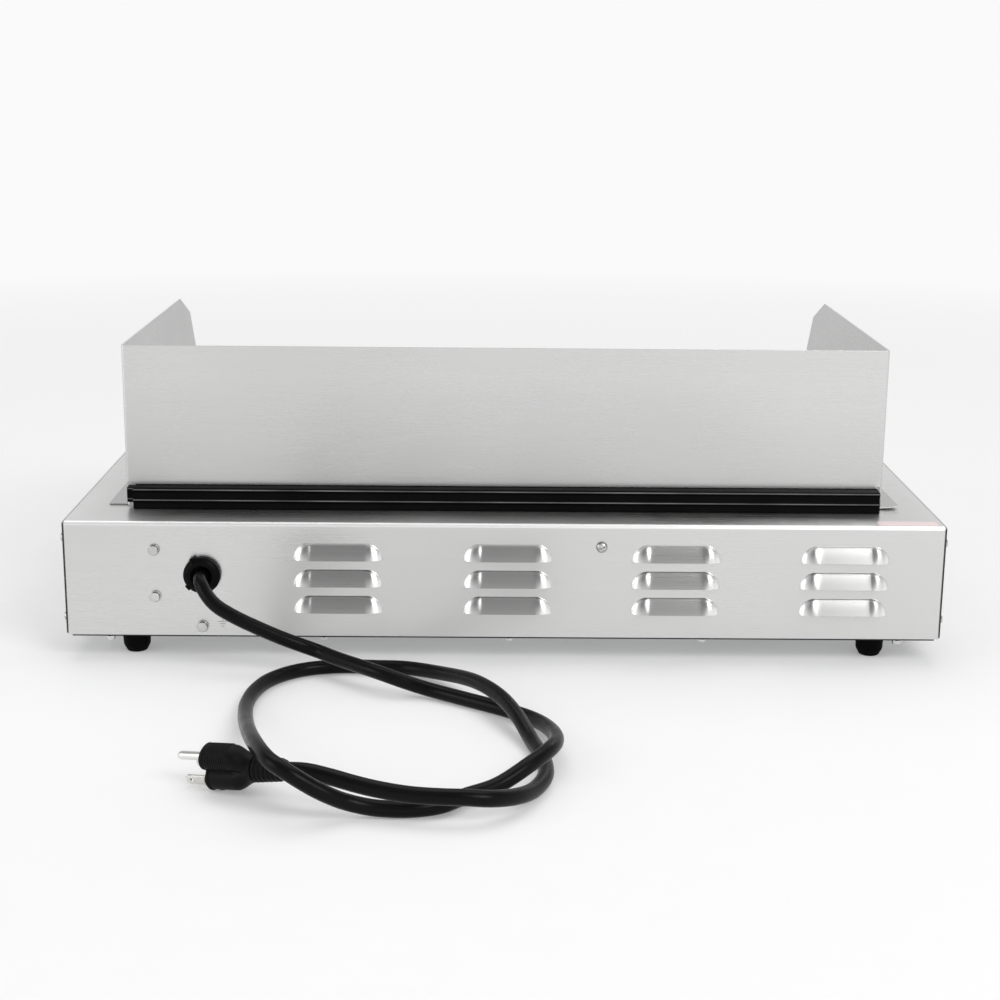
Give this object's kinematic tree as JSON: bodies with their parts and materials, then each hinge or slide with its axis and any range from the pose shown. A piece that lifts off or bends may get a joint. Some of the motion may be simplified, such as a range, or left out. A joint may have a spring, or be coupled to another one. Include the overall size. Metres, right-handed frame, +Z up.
{
  "type": "hot dog roller grill",
  "caption": "Countertop roller grill: flat brushed steel housing with louvered rear, driven heated rollers, U-shaped splash guard, drip tray, knobs, and coiled power cord.",
  "frame": {"origin": "on the counter plane, under the centre of the whole object's box, with the cord as it lies behind the housing", "axes": "+Z up; -Y is the operator's side with the knobs and the drip tray; +Y is the rear, where the cord leaves; +X is to the operator's right"},
  "size_m": [0.585, 0.7226, 0.2055],
  "materials": {
    "brushed_stainless": "fine horizontal brushing, satin",
    "galvanised_sheet": "plain zinc-coated sheet",
    "polished_stainless": "polished stainless tube with fine turning lines",
    "oxidised_element_sheath": "heat-darkened metal sheath",
    "oiled_steel": "oiled chain steel",
    "motor_can": "plated motor can",
    "bearing_polymer": "off-white bearing polymer",
    "foot_rubber": "matt black",
    "seal_rubber": "matt black, ribbed",
    "knob_plastic": "satin black",
    "switch_plastic": "satin black",
    "rocker_plastic": "glossy red",
    "pilot_lens": "amber lens",
    "thermostat_steel": "plated steel",
    "terminal_ceramic": "off-white glazed ceramic",
    "plated_fastener": "zinc plated",
    "bushing_nylon": "black nylon",
    "cord_jacket": "black flexible jacket, satin",
    "plug_moulding": "black moulded plug",
    "plug_contact": "nickel-plated brass"
  },
  "bodies": {
    "housing": {"housing_wrap": "brushed_stainless", "side_cover_left": "brushed_stainless", "side_cover_right": "brushed_stainless", "bottom_pan": "galvanised_sheet", "end_wall_left": "galvanised_sheet", "end_wall_right": "galvanised_sheet", "rod_holder_left": "galvanised_sheet", "rod_holder_right": "galvanised_sheet", "tray_rail_left": "galvanised_sheet", "tray_rail_right": "galvanised_sheet", "heating_rod_1": "oxidised_element_sheath", "heating_rod_2": "oxidised_element_sheath", "heating_rod_3": "oxidised_element_sheath", "heating_rod_4": "oxidised_element_sheath", "heating_rod_5": "oxidised_element_sheath", "heating_rod_6": "oxidised_element_sheath", "heating_rod_7": "oxidised_element_sheath", "heating_rod_8": "oxidised_element_sheath", "heating_rod_9": "oxidised_element_sheath", "drive_chain": "oiled_steel", "drive_motor": "motor_can", "bearing_strip_left": "bearing_polymer", "bearing_strip_right": "bearing_polymer", "foot_rear_left": "foot_rubber", "foot_rear_right": "foot_rubber", "foot_front_left": "foot_rubber", "foot_front_right": "foot_rubber", "power_switch_housing": "switch_plastic", "pilot_light": "pilot_lens", "thermostat_left": "thermostat_steel", "thermostat_right": "thermostat_steel", "terminal_block": "terminal_ceramic", "terminal_bolt_upper": "plated_fastener", "terminal_bolt_lower": "plated_fastener", "earth_bolt": "plated_fastener", "rear_panel_screw": "plated_fastener", "strain_relief": "bushing_nylon", "power_cord": "cord_jacket", "plug_body": "plug_moulding", "plug_blade_near": "plug_contact", "plug_blade_far": "plug_contact", "plug_ground_pin": "plug_contact"},
    "roller_1": {"roller_1": "polished_stainless"},
    "roller_2": {"roller_2": "polished_stainless"},
    "roller_3": {"roller_3": "polished_stainless"},
    "roller_4": {"roller_4": "polished_stainless"},
    "roller_5": {"roller_5": "polished_stainless"},
    "roller_6": {"roller_6": "polished_stainless"},
    "roller_7": {"roller_7": "polished_stainless"},
    "roller_8": {"roller_8": "polished_stainless"},
    "roller_9": {"roller_9": "polished_stainless"},
    "drive_sprocket": {"drive_sprocket": "oiled_steel"},
    "knob_left": {"knob_left": "knob_plastic"},
    "knob_right": {"knob_right": "knob_plastic"},
    "power_rocker": {"power_rocker": "rocker_plastic"},
    "drip_tray": {"drip_tray": "brushed_stainless"},
    "splash_guard": {"splash_guard": "brushed_stainless", "guard_seal_strip": "seal_rubber"}
  },
  "joints": [
    {"name": "roller_1_spin", "type": "hinge", "parent": "housing", "child": "roller_1", "pos_m": [0, 0.0248, 0.082], "axis": [1, 0, 0], "continuous": true},
    {"name": "roller_2_spin", "type": "hinge", "parent": "housing", "child": "roller_2", "pos_m": [0, -0.0112, 0.082], "axis": [1, 0, 0], "continuous": true},
    {"name": "roller_3_spin", "type": "hinge", "parent": "housing", "child": "roller_3", "pos_m": [0, -0.0472, 0.082], "axis": [1, 0, 0], "continuous": true},
    {"name": "roller_4_spin", "type": "hinge", "parent": "housing", "child": "roller_4", "pos_m": [0, -0.0832, 0.082], "axis": [1, 0, 0], "continuous": true},
    {"name": "roller_5_spin", "type": "hinge", "parent": "housing", "child": "roller_5", "pos_m": [0, -0.1192, 0.082], "axis": [1, 0, 0], "continuous": true},
    {"name": "roller_6_spin", "type": "hinge", "parent": "housing", "child": "roller_6", "pos_m": [0, -0.1552, 0.082], "axis": [1, 0, 0], "continuous": true},
    {"name": "roller_7_spin", "type": "hinge", "parent": "housing", "child": "roller_7", "pos_m": [0, -0.1912, 0.082], "axis": [1, 0, 0], "continuous": true},
    {"name": "roller_8_spin", "type": "hinge", "parent": "housing", "child": "roller_8", "pos_m": [0, -0.2272, 0.082], "axis": [1, 0, 0], "continuous": true},
    {"name": "roller_9_spin", "type": "hinge", "parent": "housing", "child": "roller_9", "pos_m": [0, -0.2632, 0.082], "axis": [1, 0, 0], "continuous": true},
    {"name": "drive_sprocket_spin", "type": "hinge", "parent": "housing", "child": "drive_sprocket", "pos_m": [-0.2695, 0.0638, 0.062], "axis": [1, 0, 0], "continuous": true},
    {"name": "knob_left_turn", "type": "hinge", "parent": "housing", "child": "knob_left", "pos_m": [0.1, -0.3362, 0.069], "axis": [0, 1, 0], "range_deg": [0, 300]},
    {"name": "knob_right_turn", "type": "hinge", "parent": "housing", "child": "knob_right", "pos_m": [0.19, -0.3362, 0.069], "axis": [0, 1, 0], "range_deg": [0, 300]},
    {"name": "power_rocker_tilt", "type": "hinge", "parent": "housing", "child": "power_rocker", "pos_m": [-0.19, -0.3357, 0.069], "axis": [-1, 0, 0], "range_deg": [0, 16]},
    {"name": "drip_tray_slide", "type": "slide", "parent": "housing", "child": "drip_tray", "axis": [0, -1, 0], "range_m": [0, 0.3]},
    {"name": "splash_guard_lift", "type": "slide", "parent": "housing", "child": "splash_guard", "axis": [0, 0, 1], "range_m": [0, 0.12]}
  ],
  "couplings": [
    {"joint": "roller_2_spin", "follows": "roller_1_spin", "ratio": 1},
    {"joint": "roller_3_spin", "follows": "roller_1_spin", "ratio": 1},
    {"joint": "roller_4_spin", "follows": "roller_1_spin", "ratio": 1},
    {"joint": "roller_5_spin", "follows": "roller_1_spin", "ratio": 1},
    {"joint": "roller_6_spin", "follows": "roller_1_spin", "ratio": 1},
    {"joint": "roller_7_spin", "follows": "roller_1_spin", "ratio": 1},
    {"joint": "roller_8_spin", "follows": "roller_1_spin", "ratio": 1},
    {"joint": "roller_9_spin", "follows": "roller_1_spin", "ratio": 1},
    {"joint": "drive_sprocket_spin", "follows": "roller_1_spin", "ratio": 1}
  ]
}
